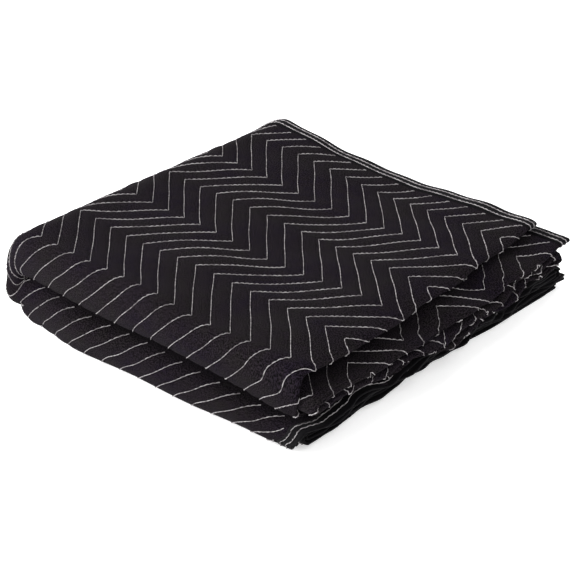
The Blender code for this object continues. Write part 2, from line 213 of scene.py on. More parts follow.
@dataclass
class FoldedBlanket:
    """The folded form: where each point of the cut blanket lies in the packet."""

    # The cut, and the thickness of the cloth and of its binding
    cut_length: float = 2.032
    cut_width: float = 1.829
    cloth: float = 0.0028
    bound_cloth: float = 0.0014
    bound_width: float = 0.0196
    taper: float = 0.012
    tape_lift: float = 0.00037
    # Where the leaves end and turn, and how far they reach from there
    end_fold_x: float = -0.012
    side_fold_inner_y: float = 0.414
    top_edge_y: float = 0.423
    second_edge_y: float = 0.434
    span_x: float = 0.436
    span_y: float = 0.423
    # How wide the folds turn for each leaf in them, and where along the cloth they are
    end_leaf: float = 0.0068
    end_tip: float = 0.0040
    side_leaf: float = 0.0062
    side_out: float = 0.0050
    side_tip: float = 0.0042
    side_skew: float = 0.15
    hairpin_leaf: float = 0.0056
    hairpin_arc: float = 0.0084
    hairpin_reach: float = 0.012
    hairpin_skew: float = -0.20
    outermost: float = 7.5
    last_fold_at: float = 0.502
    side_fold_outer: float = 0.4648
    middle_fold: float = 0.9145
    side_fold_inner: float = 1.3745
    # How the pile leans, sags, bulges and parts as it settles
    lean: tuple[float, float] = (0.014, -0.005)
    lean_start_z: float = 0.020
    lean_rise: float = 0.080
    top_dip: float = 0.004
    back_dip: float = 0.012
    dip_rise: float = 0.090
    end_droop: float = 0.16
    droop_least: float = 0.1
    droop_start: float = 0.88
    droop_run: float = 0.18
    shelf_dip: float = 0.012
    shelf_start: float = 0.80
    shelf_run: float = 0.16
    shelf_least: float = 0.15
    shelf_full: float = 5.5
    shelf_last: float = 6.5
    bulge_depth: float = 0.11
    level_share: float = 0.25
    side_gap: float = 0.0042
    gap_depth: float = 0.07
    gap_start: float = 4.0
    foot: float = 0.0025
    foot_height: float = 0.018
    foot_depth: float = 0.050
    # Height over which the cloth comes free to rumple, and the step that measures its directions
    free_height: float = 0.012
    probe: float = 0.0003
    # Columns: corner x, corner y (0 to 1), leaf spacing in the upper half, in the lower half
    spacing: Table = (
        (0.0, 0.0, 0.0085, 0.0080),
        (1.0, 0.0, 0.0092, 0.0047),
        (0.0, 1.0, 0.0072, 0.0074),
        (1.0, 1.0, 0.0061, 0.0050),
    )
    # Columns: place along the packet (0 to 1), how far the side folds stand out, upper half and lower half
    side_bulge: Table = (
        (-0.15, 0.000, 0.000),
        (0.00, 0.001, 0.004),
        (0.22, 0.003, 0.013),
        (0.45, 0.002, 0.008),
        (0.62, 0.004, 0.009),
        (0.85, 0.001, 0.004),
        (1.15, 0.000, 0.000),
    )
    # Columns: y in the cut, reach in X of the upper folds and of the lower bound ends, what their tips add
    end_reach: Table = (
        (0.000, 0.399, 0.430, 0.000, 0.005),
        (0.100, 0.407, 0.430, 0.000, 0.002),
        (0.220, 0.418, 0.430, 0.000, -0.010),
        (0.340, 0.426, 0.431, 0.000, -0.020),
        (0.423, 0.430, 0.432, -0.002, -0.019),
        (0.455, 0.434, 0.432, -0.008, -0.008),
        (0.480, 0.438, 0.434, -0.014, 0.004),
        (0.510, 0.440, 0.436, -0.017, 0.009),
        (0.700, 0.450, 0.438, 0.006, 0.010),
        (0.880, 0.450, 0.440, -0.007, 0.001),
        (0.949, 0.449, 0.440, -0.008, -0.002),
        (1.130, 0.452, 0.436, 0.004, 0.004),
        (1.350, 0.448, 0.434, -0.002, 0.000),
        (1.393, 0.450, 0.434, -0.001, 0.000),
        (1.600, 0.448, 0.434, -0.001, 0.002),
        (1.829, 0.446, 0.436, -0.003, 0.002),
    )
    tip_share: float = 0.20
    rumples: tuple[Rumple | Ripple, ...] = (
        Ripple(0.190, 20.0, 0.8, 0.10, (0.0, 0.0, 0.0014)),
        Ripple(0.130, 75.0, -1.5, 0.35, (0.0012, 0.0010, 0.0011)),
        Ripple(0.081, -40.0, 2.0, 0.60, (0.0006, -0.0005, 0.0007)),
        Ripple(0.047, 98.0, 0.5, 0.20, (0.0002, 0.0002, 0.0004)),
        Ripple(0.071, 90.0, 9.0, 0.15, (0.0036, 0.0, 0.0), (0.235, 0.03, 0.030), (0.05, 0.18, 0.045)),
        Ripple(0.113, 86.0, 4.0, 0.55, (0.0036, 0.0, 0.0), (0.235, 0.03, 0.035), (0.05, 0.20, 0.045)),
        Ripple(0.038, 95.0, 14.0, 0.30, (0.0018, 0.0, 0.0), (0.235, 0.03, 0.025), (0.04, 0.18, 0.045)),
        Ripple(0.096, 88.0, 1.0, 0.20, (0.0, 0.0, 0.0028), (0.230, 0.0, 0.050), (0.06, 9.0, 0.045)),
        Ripple(0.170, 8.0, 0.0, 0.30, (0.0, 0.0006, 0.0009), (0.0, 0.230, 0.110), (9.0, 0.055, 0.060)),
        Ripple(0.062, -6.0, 1.0, 0.10, (0.0, 0.0005, 0.0006), (0.0, 0.230, 0.100), (9.0, 0.045, 0.060)),
        Rumple((-0.035, 0.226, 0.108), (1.0, 0.0, 0.0), 0.030, 0.030, (0.0, 0.001, 0.0035)),
        Rumple((-0.247, -0.212, 0.058), (1.0, -1.0, 0.1), 0.040, 0.008, (0.005, 0.005, 0.0)),
        Rumple((-0.238, -0.222, 0.040), (1.0, -0.8, -0.2), 0.035, 0.008, (-0.001, -0.003, 0.0)),
        Rumple((-0.225, -0.225, 0.026), (1.0, -0.4, 0.2), 0.030, 0.007, (0.004, 0.006, 0.0)),
        Rumple((-0.205, -0.228, 0.034), (1.0, 0.1, 0.5), 0.020, 0.006, (0.002, 0.005, 0.002)),
        Rumple((0.226, -0.222, 0.050), (0.1, 0.1, 1.0), 0.022, 0.009, (-0.002, 0.005, 0.0)),
        Rumple((0.240, -0.205, 0.058), (0.2, 0.0, 1.0), 0.020, 0.010, (0.004, -0.002, 0.003)),
        Rumple((0.245, -0.190, 0.042), (0.3, 1.0, 0.0), 0.024, 0.009, (0.003, 0.0, 0.004)),
        Rumple((0.240, -0.205, 0.018), (0.2, 1.0, 0.2), 0.020, 0.010, (-0.005, 0.002, -0.001)),
    )
    offset: Triple = (0.0, 0.0, 0.0)
    face: float = 1.0

    def first_fold(self, x: Array) -> tuple[Array, Array]:
        """The cloth doubled end to end.

        Args:
            x: place along the length of the cut.

        Returns:
            The run from the bound ends, and the side, +0.5 on the outer leaf to -0.5 on the inner one.
        """
        half = 0.5 * self.cut_length
        angle = rounded(bend(x, half, self.hairpin_arc), self.hairpin_skew)
        straight = np.minimum(np.minimum(x, self.cut_length - x), half - QUARTER * self.hairpin_arc)
        return straight + self.hairpin_reach * np.cos(angle), -0.5 * np.sin(angle)

    def side_folds(self, y: Array, side: Array) -> tuple[Array, Array]:
        """The doubled cloth folded twice, side to side.

        Args:
            y: place across the width of the cut.
            side: side of the doubled cloth.

        Returns:
            The place across the packet, and the height in leaves, -4 to 4.
        """
        outer = 3.0 + side
        middle = 1.0 + side
        inner = 1.0 - side
        tuck = self.side_out - self.side_tip
        outer_turn = rounded(bend(y, self.side_fold_outer, outer * self.side_leaf), self.side_skew)
        middle_turn = bend(y, self.middle_fold, middle * self.hairpin_leaf)
        inner_turn = bend(y, self.side_fold_inner, inner * self.side_leaf)
        outer_y = (outer - 3.5) * tuck
        inner_y = (inner - 3.5) * tuck
        outer_arc = QUARTER * outer * self.side_leaf
        middle_arc = QUARTER * middle * self.hairpin_leaf
        inner_arc = QUARTER * inner * self.side_leaf
        place = (
            self.top_edge_y
            + (outer_y - self.top_edge_y) * share(y, 0.0, self.side_fold_outer - outer_arc)
            + (self.side_fold_inner_y - outer_y)
            * share(y, self.side_fold_outer + outer_arc, self.middle_fold - middle_arc)
            + (inner_y - self.side_fold_inner_y)
            * share(y, self.middle_fold + middle_arc, self.side_fold_inner - inner_arc)
            + (self.second_edge_y - inner_y) * share(y, self.side_fold_inner + inner_arc, self.cut_width)
            - outer * self.side_out * np.cos(outer_turn)
            + middle * self.hairpin_leaf * np.cos(middle_turn)
            - inner * self.side_out * np.cos(inner_turn)
        )
        height = (
            -outer * np.sin(outer_turn)
            + middle * (1.0 + np.sin(middle_turn))
            + inner * (1.0 + np.sin(inner_turn))
        )
        return place, height

    def last_fold(self, run: Array, level: Array, y: Array) -> tuple[Array, Array]:
        """The last fold, end to end.

        Args:
            run: distance from the bound ends.
            level: leaves from the inside of the fold.
            y: place across the width of the cut.

        Returns:
            The place along the packet, and the height in leaves, -8 in the lowest to 8 on top.
        """
        radius = level * self.end_leaf
        taken = self.end_leaf * (self.outermost + self.level_share * (level - self.outermost))
        turn = bend(run, self.last_fold_at, taken)
        arc = QUARTER * taken
        fold_x = self.end_fold_x - (self.outermost - level) * (self.end_leaf - self.end_tip)
        hairpin = 0.5 * self.cut_length - QUARTER * self.hairpin_arc
        low_x = eased(self.end_reach, y, 2)
        top_x = eased(self.end_reach, y, 1) - self.hairpin_reach
        from_low = share(run, 0.0, self.last_fold_at - arc)
        to_top = share(run, self.last_fold_at + arc, hairpin)
        place = (
            low_x
            + (fold_x - low_x) * from_low
            + (top_x - fold_x) * to_top
            + np.maximum(run - hairpin, 0.0)
            - radius * np.cos(turn)
            + eased(self.end_reach, y, 4) * ease(1.0 - from_low / self.tip_share)
            + eased(self.end_reach, y, 3) * ease(1.0 - (1.0 - to_top) / self.tip_share)
        )
        return place, level * np.sin(turn)

    def shares(self, along: Array, across: Array) -> tuple[Array, Array]:
        """Place along the packet, also past its ends, and place across it, kept within 0 to 1."""
        place = (along - self.end_fold_x) / self.span_x
        return place, np.clip(across / self.span_y, 0.0, 1.0)

    def leaf_spacing(self, along: Array, across: Array, column: int) -> Array:
        """Spacing of the leaves, blended from the packet's four corners.

        Args:
            along: place along the packet.
            across: place across it.
            column: column of the spacing table.

        Returns:
            The spacing there.
        """
        place, share_y = self.shares(along, across)
        share_x = np.clip(place, 0.0, 1.0)
        total = np.zeros_like(share_x)
        for row in self.spacing:
            weight_x = share_x if row[0] else 1.0 - share_x
            weight_y = share_y if row[1] else 1.0 - share_y
            total = total + weight_x * weight_y * row[column]
        return total

    def clear(self, x: Array, y: Array) -> Array:
        """How clear of the binding a point of the cut is, 0 under it to 1 beyond it."""
        edge = np.minimum(np.minimum(x, self.cut_length - x), np.minimum(y, self.cut_width - y))
        return ease((edge - self.bound_width) / self.taper)

    def settled(self, along: Array, across: Array, up: Array, middle: Array) -> Array:
        """The pile as it has settled.

        Args:
            along: place along the packet.
            across: place across it.
            up: height.
            middle: height of the pile's middle plane there.

        Returns:
            The points of the settled pile.
        """
        place, share_y = self.shares(along, across)
        sag = self.top_dip * np.sin(math.pi * share_y) + self.back_dip * share_y * share_y
        sag = sag * np.sin(math.pi * np.clip(place, 0.0, 1.0))
        sunk = up - sag * np.clip((up - self.cloth) / self.dip_rise, 0.0, 1.0)
        near = ease(1.0 - across / self.gap_depth) * ease(self.gap_start * place)
        parted = np.sign(up - middle) * np.clip(1.0 - np.abs(up - middle) / middle, 0.0, 1.0)
        sunk = sunk + self.side_gap * near * parted
        upper = ease((up - middle) / (0.5 * middle) + 0.5)
        bulge = eased(self.side_bulge, place, 1) * upper + eased(self.side_bulge, place, 2) * (1.0 - upper)
        out = bulge * ease(1.0 - across / self.bulge_depth)
        out = out + self.foot * ease(1.0 - up / self.foot_height) * ease(1.0 - across / self.foot_depth)
        lean = np.maximum(sunk - self.lean_start_z, 0.0) / self.lean_rise
        return np.stack([along + self.lean[0] * lean, across - out + self.lean[1] * lean, sunk], axis=-1)

    def middle_of(self, x: Array, y: Array) -> Array:
        """Middle of the cloth, folded and rumpled.

        Args:
            x: place along the length of the cut.
            y: place across its width.

        Returns:
            The points there.
        """
        run, side = self.first_fold(x)
        across, height = self.side_folds(y, side)
        along, leaves = self.last_fold(run, 4.0 + height, y)
        place, share_y = self.shares(along, across)
        droop = self.end_droop * ease((place - self.droop_start) / self.droop_run)
        middling = 4.0 * share_y * (1.0 - share_y)
        droop = droop * (self.droop_least + (1.0 - self.droop_least) * middling)
        upper = self.leaf_spacing(along, across, 2) * (1.0 - droop)
        lower = self.leaf_spacing(along, across, 3)
        middle = 0.5 * self.cloth + self.outermost * lower
        lift = self.tape_lift * (1.0 - self.clear(x, y))
        up = middle + leaves * np.where(leaves > 0.0, upper, lower) + lift
        end = ease((place - self.shelf_start) / self.shelf_run)
        below = ease(self.shelf_last - leaves) * np.clip(leaves / self.shelf_full, 0.0, 1.0)
        kept = self.shelf_least + (1.0 - self.shelf_least) * (1.0 - share_y * share_y)
        up = up - self.shelf_dip * end * below * kept
        points = self.settled(along, across, up, middle) + np.array(self.offset)
        free = ease((points[..., 2] - self.cloth) / self.free_height)
        moved = sum((rumple.move(points) for rumple in self.rumples), np.zeros_like(points))
        return points + moved * free[..., None]

    def frame(self, x: Array, y: Array) -> tuple[Array, Array, Array, Array]:
        """The folded cloth and its directions.

        Args:
            x: place along the length of the cut.
            y: place across its width.

        Returns:
            The point in the cloth's middle, its directions along x and y, and the one out of its face.
        """
        step = self.probe
        along = unit(self.middle_of(x + step, y) - self.middle_of(x - step, y))
        across = unit(self.middle_of(x, y + step) - self.middle_of(x, y - step))
        return self.middle_of(x, y), along, across, self.face * unit(np.cross(along, across))


@dataclass
class Quilting:
    """The zigzag quilting: side by side lines, and the cloth that puffs up between them."""

    blanket: FoldedBlanket
    pitch: float = 0.0284
    reach: float = 0.074
    leg: float = 0.074
    first_corner: float = 0.0575
    line_start: float = 0.0068
    first_number: int = -4
    pinch: float = 0.60
    puff: float = 0.0007
    # Powers that round the cloth between two lines
    pillow: tuple[float, float] = (2.4, 0.85)
    # Where the cloth comes free to puff up and where it is held again, and over what distance that fades
    side_end: float = 0.54
    shelf_start: float = 1.36
    side_fade: float = 0.03
    outer_end: float = 1.060
    outer_fade: float = 0.04
    turn_spread: float = 0.024
    under_end: float = 0.36
    under_fade: float = 0.05
    under_side: float = 0.41

    def numbers(self) -> range:
        """Numbers of the lines that cross the cut."""
        return range(self.first_number, math.ceil(self.blanket.cut_length / self.pitch) + 1)

    def zigzag(self, y: Array) -> Array:
        """How far the lines have moved along the length at this place across the width."""
        phase = np.mod(y - self.first_corner, 2.0 * self.leg) / self.leg
        return self.reach * (1.0 - np.abs(1.0 - phase))

    def line(self, number: float, y: Array) -> Array:
        """Place along the length of one line, or of a place between two, at y."""
        return self.line_start + self.pitch * number + self.zigzag(y)

    def from_line(self, x: Array, y: Array) -> Array:
        """Distance to the nearest line, 0 on it to 1 half way between two."""
        place = np.mod((x - self.line_start - self.zigzag(y)) / self.pitch, 1.0)
        return 2.0 * np.minimum(place, 1.0 - place)

    def loose(self, x: Array, y: Array) -> Array:
        """How free the outer face is to puff up.

        Args:
            x: place along the length of the cut.
            y: place across its width.

        Returns:
            0 under the binding or inside the pile to 1 on the outside.
        """
        side = 1.0 - ease((y - self.side_end) / self.side_fade)
        shelf = ease((y - self.shelf_start) / self.side_fade)
        outer = 1.0 - ease((x - self.outer_end) / self.outer_fade)
        turned = 1.0 - np.exp(-(((x - 0.5 * self.blanket.cut_length) / self.turn_spread) ** 2))
        under = ease((x - self.under_end) / self.under_fade + (y > self.under_side))
        return self.blanket.clear(x, y) * outer * turned * np.maximum(side, shelf) * under

    def thickness(self, x: Array, y: Array) -> tuple[Array, Array]:
        """Height of the faces of the cloth over its middle.

        Args:
            x: place along the length of the cut.
            y: place across its width.

        Returns:
            The height of the outer face and of the inner one.
        """
        cloth = 0.5 * self.blanket.cloth
        bound = self.blanket.bound_cloth / self.blanket.cloth
        pillow = (1.0 - (1.0 - self.from_line(x, y)) ** self.pillow[0]) ** self.pillow[1]
        full = bound + (1.0 - bound) * self.blanket.clear(x, y)
        pinch = self.pinch + (1.0 - self.pinch) * pillow
        loose = self.loose(x, y)
        outer = cloth * full * (1.0 - loose + loose * pinch) + self.puff * loose * pillow
        return outer, cloth * full


@dataclass(frozen=True)
class Zone:
    """A rectangle of the cut that shows and is drawn finely, with its faces along the quilting lines."""

    x_low: float
    x_high: float
    y_low: float
    y_high: float

    def holds(self, x: Array, y: Array, margin: float) -> Array:
        """Whether a point lies in the zone, or within the margin round it."""
        return (
            (x > self.x_low - margin) & (x < self.x_high + margin)
            & (y > self.y_low - margin) & (y < self.y_high + margin)
        )


def spaced(start: float, *stretches: tuple[float, float]) -> list[float]:
    """Places along a line, from one stretch to the next, without the far end of the last.

    Args:
        start: where the line starts.
        stretches: for each stretch, where it ends and how far apart its places may be.

    Returns:
        The places.
    """
    found = []
    for stop, step in stretches:
        count = max(1, math.ceil((stop - start) / step))
        found += [start + (stop - start) * number / count for number in range(count)]
        start = stop
    return found


@dataclass
class QuiltedCloth:
    """The quilted cloth itself, one piece, drawn flat and laid onto the folded form."""

    blanket: FoldedBlanket
    quilting: Quilting
    # The top, the outer side folds, and the shelf under the end fold with the back folds
    zones: tuple[Zone, ...] = (
        Zone(0.400, 1.004, 0.021, 0.560),
        Zone(0.034, 0.400, 0.385, 0.560),
        Zone(1.028, 1.100, 1.300, 1.808),
    )
    zone_margin: float = 0.0012
    rows_a_leg: int = 15
    # Places of the fine columns, 0 on one quilting line to 1 on the next
    puffed: tuple[float, ...] = (0.0, 0.10, 0.28, 0.50, 0.72, 0.90)
    # Height of the cloth's lowest face, which leaves room for the stitches under it
    pressed: float = 0.0005
    edge_depth: float = 0.034
    turn_depth: float = 0.0155
    turn_rows: int = 4
    wide_row: float = 0.012

    def columns(self) -> list[float]:
        """Columns of the plain grid, close together at the edges and round the folds."""
        blanket = self.blanket
        half = 0.5 * blanket.cut_length
        fold = blanket.last_fold_at
        one_side = spaced(
            0.0,
            (blanket.bound_width, 0.010), (self.edge_depth, 0.005), (fold - 0.085, 0.024),
            (fold - 0.022, 0.008), (fold - 0.007, 0.004), (fold + 0.007, 0.0018), (fold + 0.022, 0.004),
            (fold + 0.085, 0.008), (half - 0.060, 0.024), (half - 0.015, 0.009), (half, 0.0020),
        )
        return one_side + [half] + [blanket.cut_length - x for x in reversed(one_side)]

    def rows(self) -> list[float]:
        """Rows of the plain grid."""
        blanket = self.blanket
        middle = blanket.middle_fold
        inner = blanket.side_fold_inner
        width = blanket.cut_width
        found = spaced(
            0.0,
            (blanket.bound_width, 0.010), (self.edge_depth, 0.005), (0.420, 0.020), (0.520, 0.005),
            (middle - 0.030, 0.024), (middle - 0.006, 0.004), (middle + 0.006, 0.002),
            (middle + 0.030, 0.004), (inner - 0.020, 0.024), (inner + 0.020, 0.0028),
            (width - self.edge_depth, 0.020), (width - blanket.bound_width, 0.005), (width, 0.010),
        )
        return found + [width]

    def rows_between(self) -> Array:
        """Points between the wide rows where the cloth turns at its first fold, which draw its edge round."""
        half = 0.5 * self.blanket.cut_length
        rows = self.rows()
        near = [x for x in self.columns() if abs(x - half) < self.turn_depth]
        between = [
            low + (high - low) * part / self.turn_rows
            for low, high in zip(rows, rows[1:]) if high - low > self.wide_row
            for part in range(1, self.turn_rows)
        ]
        return np.stack(np.meshgrid(near, between), axis=-1).reshape(-1, 2)

    def drawing(self) -> tuple[Array, Array]:
        """The cut, drawn flat.

        Returns:
            The points of the drawing, and its triangles.
        """
        grid = np.stack(np.meshgrid(self.columns(), self.rows()), axis=-1).reshape(-1, 2)
        points = np.concatenate([grid, self.rows_between()])
        inside = np.zeros(len(points), dtype=bool)
        for zone in self.zones:
            inside |= zone.holds(points[:, 0], points[:, 1], self.zone_margin)
        found = [tuple(point) for point in points[~inside]]
        edges: list[tuple[int, int]] = []
        quilting = self.quilting
        step = quilting.leg / self.rows_a_leg
        places = [line + offset for line in quilting.numbers() for offset in self.puffed]
        for zone in self.zones:
            first = math.ceil((zone.y_low - quilting.first_corner) / step)
            last = math.floor((zone.y_high - quilting.first_corner) / step)
            y = quilting.first_corner + step * np.arange(first, last + 1)
            for place in places:
                x = quilting.line(place, y)
                kept = np.flatnonzero((x > zone.x_low) & (x < zone.x_high))
                for number, here in enumerate(kept):
                    if number > 0 and here == kept[number - 1] + 1:
                        edges.append((len(found) - 1, len(found)))
                    found.append((float(x[here]), float(y[here])))
        verts, _, faces, *_ = delaunay_2d_cdt([Vector(point) for point in found], edges, [], 0, 1e-6)
        return np.array([tuple(vert) for vert in verts]), np.array([tuple(face) for face in faces])

    def build(self, look: Material) -> Piece:
        """Draw the cloth, give it its two faces and fold it.

        Args:
            look: the cloth's material.

        Returns:
            The folded cloth.
        """
        flat, faces = self.drawing()
        x, y = flat[:, 0], flat[:, 1]
        point, _, _, out = self.blanket.frame(x, y)
        outer, inner = self.quilting.thickness(x, y)
        points = np.concatenate([point + out * outer[:, None], point - out * inner[:, None]])
        points[:, 2] = np.maximum(points[:, 2], self.pressed)
        a, b, c = (flat[faces[:, corner]] for corner in range(3))
        area = (b - a)[:, 0] * (c - a)[:, 1] - (b - a)[:, 1] * (c - a)[:, 0]
        faces = faces[np.abs(area) > TINY]
        area = area[np.abs(area) > TINY]
        turned = np.where((area * self.blanket.face > 0)[:, None], faces, faces[:, ::-1])
        directed = np.concatenate([turned[:, pair] for pair in ([0, 1], [1, 2], [2, 0])])
        known = {(int(p), int(q)) for p, q in directed}
        rim = sorted((p, q) for p, q in known if (q, p) not in known)
        count = len(flat)
        polygons = [tuple(map(int, face)) for face in turned]
        polygons += [tuple(int(corner) + count for corner in face[::-1]) for face in turned]
        polygons += [(q, p, p + count, q + count) for p, q in rim]
        return make_piece("quilted_cloth", points, polygons, np.concatenate([flat, flat]), look)


def linked(name: str, data: bpy.types.ID) -> Piece:
    """A new object in the scene."""
    made = bpy.data.objects.new(name, data)
    bpy.context.scene.collection.objects.link(made)
    return made


def make_piece(name: str, points: Array, polygons: Faces, flat: Array, look: Material) -> Piece:
    """Make a mesh object whose UV map holds its place in the cut, in metres.

    Args:
        name: the piece's name.
        points: its points.
        polygons: its faces, as numbers of points.
        flat: x and y in the cut for each point.
        look: its material.

    Returns:
        The object, linked to the scene and smooth shaded.
    """
    data = bpy.data.meshes.new(name)
    data.from_pydata(points.tolist(), [], polygons)
    data.update()
    layer = data.uv_layers.new(name="cut")
    corners = np.empty(len(data.loops), dtype=np.int64)
    data.loops.foreach_get("vertex_index", corners)
    layer.data.foreach_set("uv", flat[corners].astype(np.float32).ravel())
    data.shade_smooth()
    data.materials.append(look)
    return linked(name, data)


@dataclass
class BindingTape:
    """Woven tape folded over the cut edges and sewn down through both of its sides."""

    blanket: FoldedBlanket
    width: float = 0.019
    wall: float = 0.0006
    gap: float = 0.00015
    step: float = 0.006
    corner_step: float = 0.0020
    stitch_rows: tuple[float, ...] = (0.0065, 0.0145)
    # The turn round the edge: where it starts, its angles, and how far out it stands for its height
    turn_start: float = 0.001
    turn_angles: tuple[float, ...] = (60.0, 20.0, -20.0, -60.0)
    turn_outside: float = 0.8
    turn_inside: float = 0.7
    # Puckers between the stitches: height, length, and how fast they shift with depth
    pucker: float = 0.00010
    pucker_length: float = 0.0061
    pucker_shift: float = 300.0

    def path(self, edge: Edge) -> tuple[Array, Array, tuple[float, float]]:
        """Where an edge runs in the cut.

        Args:
            edge: which edge.

        Returns:
            The places along the length and across the width, and the direction into the cloth.
        """
        blanket = self.blanket
        if edge in (Edge.SIDE_TOP, Edge.SIDE_SECOND):
            half = 0.5 * blanket.cut_length
            fold = blanket.last_fold_at
            run = spaced(
                0.0, (fold - 0.03, self.step), (fold + 0.03, 0.003), (half - 0.014, self.step),
                (half, self.corner_step),
            )
            x = np.array(run + [half] + [blanket.cut_length - place for place in reversed(run)])
            first = edge is Edge.SIDE_TOP
            return x, np.full_like(x, 0.0 if first else blanket.cut_width), (0.0, 1.0 if first else -1.0)
        middle = blanket.middle_fold
        inner = blanket.side_fold_inner
        high = blanket.cut_width - blanket.bound_width
        run = spaced(
            blanket.bound_width, (0.42, self.step), (0.52, 0.004), (middle - 0.02, self.step),
            (middle + 0.02, 0.002), (inner - 0.02, self.step), (inner + 0.02, 0.002), (high, self.step),
        )
        y = np.array(run + [high])
        first = edge is Edge.END_OUTER
        return np.full_like(y, 0.0 if first else blanket.cut_length), y, (1.0 if first else -1.0, 0.0)

    def lip(self) -> float:
        """Height of the tape's outer face over the middle of the cloth."""
        return 0.5 * self.blanket.bound_cloth + self.gap + self.wall

    def profile(self) -> list[tuple[float, float]]:
        """Section of the tape: depth into the cloth and height, out along one face and back inside it."""
        outer = self.lip()
        inner = outer - self.wall
        turn = [math.radians(angle) for angle in self.turn_angles]
        depths = [self.width, 0.66 * self.width, 0.33 * self.width, self.turn_start]
        section = [(depth, outer) for depth in depths]
        section += [(-outer * self.turn_outside * math.cos(angle), outer * math.sin(angle)) for angle in turn]
        section += [(depth, -outer) for depth in reversed(depths)]
        depths = [self.width, 0.5 * self.width, self.turn_start]
        section += [(depth, -inner) for depth in depths]
        section += [(-inner * self.turn_inside, 0.0)]
        return section + [(depth, inner) for depth in reversed(depths)]

    def build(self, edge: Edge, look: Material) -> Piece:
        """Lay the tape along one edge.

        Args:
            edge: which edge.
            look: the tape's material.

        Returns:
            The tape.
        """
        x, y, inward = self.path(edge)
        section = self.profile()
        run = x if inward[0] == 0.0 else y
        rings = []
        flats = []
        for depth, height in section:
            inside = max(depth, 0.0)
            point, along, across, out = self.blanket.frame(x + inward[0] * inside, y + inward[1] * inside)
            inwards = along * inward[0] + across * inward[1]
            wave = np.sin(run * 2.0 * math.pi / self.pucker_length + depth * self.pucker_shift)
            up = height + self.pucker * wave * np.sign(height)
            rings.append(point + inwards * min(depth, 0.0) + out * up[:, None])
            flats.append(np.stack([run, np.full_like(run, depth * np.sign(height + TINY))], axis=1))
        count = len(x)
        size = len(section)
        pairs = [(ring * count, (ring + 1) % size * count) for ring in range(size)]
        polygons = [(a + at, a + at + 1, b + at + 1, b + at) for a, b in pairs for at in range(count - 1)]
        polygons.append(tuple(a for a, _ in pairs))
        polygons.append(tuple(a + count - 1 for a, _ in reversed(pairs)))
        points = np.concatenate(rings)
        points[:, 2] = np.maximum(points[:, 2], 0.0)
        return make_piece(edge.value + "_web", points, polygons, np.concatenate(flats), look)


